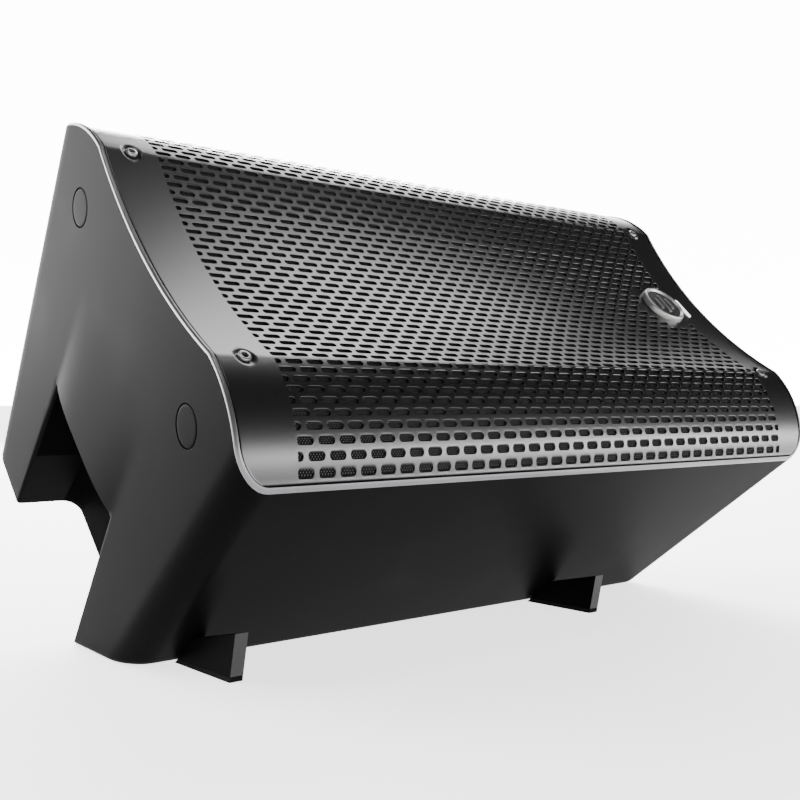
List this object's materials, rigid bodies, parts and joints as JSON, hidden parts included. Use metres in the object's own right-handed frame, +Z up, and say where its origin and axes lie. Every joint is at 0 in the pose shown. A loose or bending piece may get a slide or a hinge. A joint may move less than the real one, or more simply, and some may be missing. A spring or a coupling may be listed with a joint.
{
  "type": "stage monitor wedge",
  "caption": "Moulded powered loudspeaker cabinet lying on its side as a floor monitor wedge, with a formed perforated grille facing up at 45 degrees.",
  "frame": {"origin": "bottom centre of the bounding box, on the floor", "axes": "+Z up, X along the cabinet's length, -Y the way that the grille faces"},
  "size_m": [0.6654, 0.482, 0.423],
  "materials": {
    "shell_plastic": "fine moulded texture",
    "grille_paint": "satin black powder coat",
    "grille_cloth": "woven mesh",
    "bright_steel": "bright plated",
    "badge_metal": "brushed satin",
    "badge_face": "satin",
    "light_lens": "milky white",
    "rubber": "matt",
    "baffle_board": "black stained board",
    "cone_paper": "pressed paper fibre",
    "spider_cloth": "treated cloth",
    "cast_metal": "black painted metal",
    "copper": "wound wire",
    "horn_plastic": "moulded",
    "panel_paint": "powder coat",
    "heatsink_metal": "black anodised",
    "circuit": "circuit board",
    "foam": "open foam",
    "knob_plastic": "soft touch",
    "socket_plastic": "moulded nylon",
    "display_glass": "clear window over a dark display"
  },
  "bodies": {
    "root": {"amp_board": "circuit", "amp_heatsink": "heatsink_metal", "amp_panel": "panel_paint", "badge_disc": "badge_face", "badge_ring": "badge_metal", "cabinet_shell": "shell_plastic", "compression_driver": "cast_metal", "damping_foam": "foam", "display_window": "display_glass", "fin_pad_far": "rubber", "fin_pad_near": "rubber", "front_baffle": "baffle_board", "grille": "grille_paint", "grille_cloth": "grille_cloth", "grille_screw_1": "bright_steel", "grille_screw_2": "bright_steel", "grille_screw_3": "bright_steel", "grille_screw_4": "bright_steel", "horn_flare": "horn_plastic", "horn_lead": "rubber", "input_jack_1": "socket_plastic", "input_jack_2": "socket_plastic", "led_board": "circuit", "led_lens": "light_lens", "link_output_jack": "socket_plastic", "mains_inlet": "socket_plastic", "monitor_fin_far": "shell_plastic", "monitor_fin_near": "shell_plastic", "panel_screw_1": "bright_steel", "panel_screw_2": "bright_steel", "panel_screw_3": "bright_steel", "panel_screw_4": "bright_steel", "pole_cup": "shell_plastic", "port_tube_1": "horn_plastic", "port_tube_2": "horn_plastic", "power_supply_board": "circuit", "power_switch_frame": "socket_plastic", "preamp_board": "circuit", "rigging_cap_lower": "shell_plastic", "rigging_cap_upper": "shell_plastic", "rigging_insert_lower": "bright_steel", "rigging_insert_upper": "bright_steel", "rubber_foot_1": "rubber", "rubber_foot_2": "rubber", "rubber_foot_3": "rubber", "rubber_foot_4": "rubber", "woofer_basket": "cast_metal", "woofer_lead": "rubber", "woofer_magnet": "cast_metal"},
    "woofer_moving": {"woofer_cone": "cone_paper", "woofer_surround": "rubber", "woofer_spider": "spider_cloth", "dust_cap": "cone_paper", "voice_coil": "copper"},
    "level_knob_1": {"level_knob_1": "knob_plastic"},
    "level_knob_2": {"level_knob_2": "knob_plastic"},
    "encoder_shaft": {"encoder_shaft": "bright_steel"},
    "encoder_knob": {"encoder_knob": "knob_plastic"},
    "pairing_button": {"pairing_button": "knob_plastic"},
    "power_rocker": {"power_rocker": "knob_plastic"}
  },
  "joints": [
    {"name": "woofer_travel", "type": "slide", "parent": "root", "child": "woofer_moving", "axis": [0, -0.7071, 0.7071], "range_m": [-0.006, 0.006], "stiffness_N_per_m": 4000},
    {"name": "level_knob_1_turn", "type": "hinge", "parent": "root", "child": "level_knob_1", "pos_m": [0.156, 0.17142, 0.11738], "axis": [0, 0.7071, -0.7071], "range_deg": [-150, 150]},
    {"name": "level_knob_2_turn", "type": "hinge", "parent": "root", "child": "level_knob_2", "pos_m": [0.128, 0.17142, 0.11738], "axis": [0, 0.7071, -0.7071], "range_deg": [-150, 150]},
    {"name": "encoder_push", "type": "slide", "parent": "root", "child": "encoder_shaft", "axis": [0, -0.7071, 0.7071], "range_m": [0, 0.0006], "stiffness_N_per_m": 1500},
    {"name": "encoder_turn", "type": "hinge", "parent": "encoder_shaft", "child": "encoder_knob", "pos_m": [0.028, 0.17142, 0.11738], "axis": [0, 0.7071, -0.7071], "continuous": true},
    {"name": "pairing_button_push", "type": "slide", "parent": "root", "child": "pairing_button", "axis": [0, -0.7071, 0.7071], "range_m": [0, 0.0008], "stiffness_N_per_m": 1500},
    {"name": "power_rocker_tip", "type": "hinge", "parent": "root", "child": "power_rocker", "pos_m": [0.008, 0.1092, 0.06081], "axis": [0, 0.7071, 0.7071], "range_deg": [-9, 9]}
  ]
}
